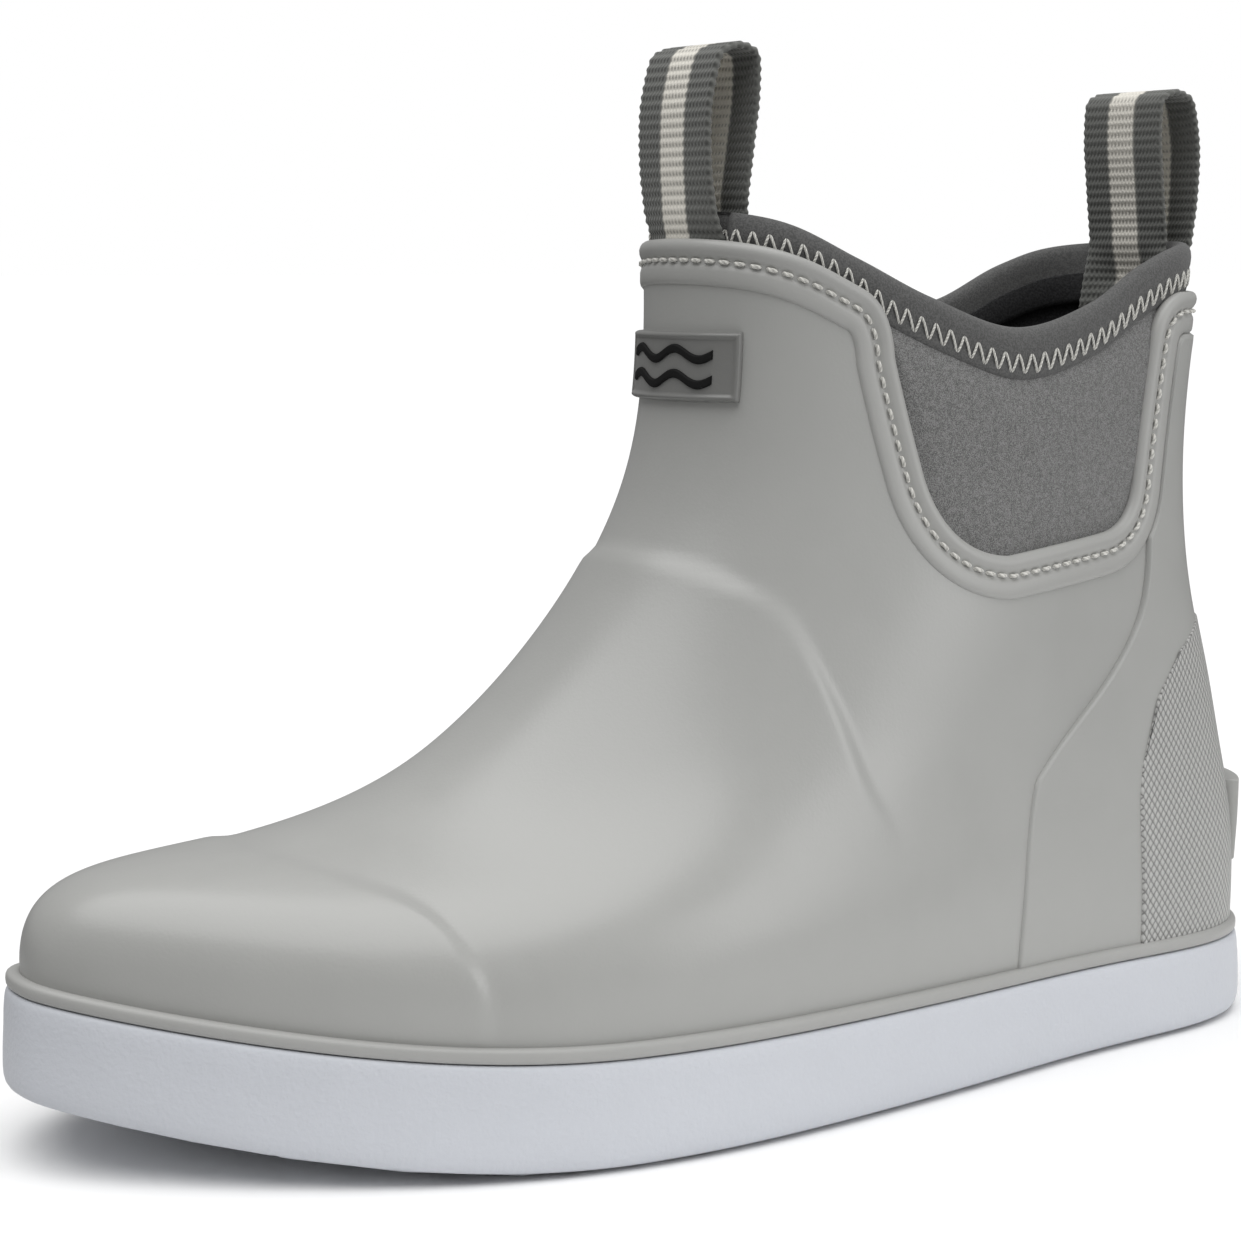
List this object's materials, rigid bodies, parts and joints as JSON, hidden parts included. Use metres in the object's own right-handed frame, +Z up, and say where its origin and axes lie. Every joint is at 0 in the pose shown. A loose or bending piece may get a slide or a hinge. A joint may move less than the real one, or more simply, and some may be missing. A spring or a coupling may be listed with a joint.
{
  "type": "deck boot",
  "caption": "Left ankle-height rubber deck boot with a neoprene bootie, stretch side panels, webbing pull loops, a removable footbed and a flat wrapped sole.",
  "frame": {"origin": "on the ground, on the flat face of the outsole, under the middle of the boot's length", "axes": "+Z up, toe towards -Y, heel towards +Y, outer side of the left foot towards +X"},
  "size_m": [0.1126, 0.294, 0.2102],
  "materials": {
    "upper_rubber": "smooth satin rubber",
    "guard_rubber": "fine square mesh texture",
    "sole_rubber": "matte non-marking rubber",
    "welt_rubber": "satin rubber",
    "badge_rubber": "satin moulded rubber",
    "emblem_rubber": "satin black rubber",
    "gore_fabric": "speckled stretch knit on neoprene",
    "lining_fabric": "brushed jersey on neoprene",
    "collar_knit": "smooth jersey binding",
    "thread": "twisted polyester thread",
    "webbing": "ribbed woven webbing with a pale centre stripe",
    "foam": "closed cell foam",
    "footbed_foam": "fabric covered foam",
    "board": "fibre board"
  },
  "bodies": {
    "boot": {"outsole": "sole_rubber", "midsole": "foam", "insole_board": "board", "foxing_strip": "sole_rubber", "welt_bead": "welt_rubber", "rubber_upper": "upper_rubber", "toe_cap": "upper_rubber", "vamp_overlay": "upper_rubber", "heel_quarter": "upper_rubber", "heel_guard": "guard_rubber", "kick_tab": "upper_rubber", "edge_tape": "upper_rubber", "front_badge": "badge_rubber", "badge_wave_lower": "emblem_rubber", "badge_wave_upper": "emblem_rubber", "rear_patch": "badge_rubber", "gore_lateral": "gore_fabric", "gore_medial": "gore_fabric", "bootie_lining": "lining_fabric", "collar_binding": "collar_knit", "collar_zigzag_stitch": "thread", "edge_topstitch": "thread", "front_loop_outer_tab": "webbing", "front_loop_inner_tab": "webbing", "rear_loop_outer_tab": "webbing", "rear_loop_inner_tab": "webbing"},
    "footbed": {"footbed": "footbed_foam"},
    "front_loop": {"front_pull_loop": "webbing"},
    "rear_loop": {"rear_pull_loop": "webbing"}
  },
  "joints": [
    {"name": "front_loop_fold", "type": "hinge", "parent": "boot", "child": "front_loop", "pos_m": [0, -0.00138, 0.17716], "axis": [1, 0, 0], "range_deg": [-35, 35], "stiffness_Nm_per_rad": 0.01},
    {"name": "rear_loop_fold", "type": "hinge", "parent": "boot", "child": "rear_loop", "pos_m": [0, 0.12319, 0.1716], "axis": [1, 0, 0], "range_deg": [-35, 35], "stiffness_Nm_per_rad": 0.01},
    {"name": "footbed_lift", "type": "hinge", "parent": "boot", "child": "footbed", "pos_m": [-0.01, -0.13726, 0.02237], "axis": [1, 0, 0], "range_deg": [0, 4]}
  ]
}
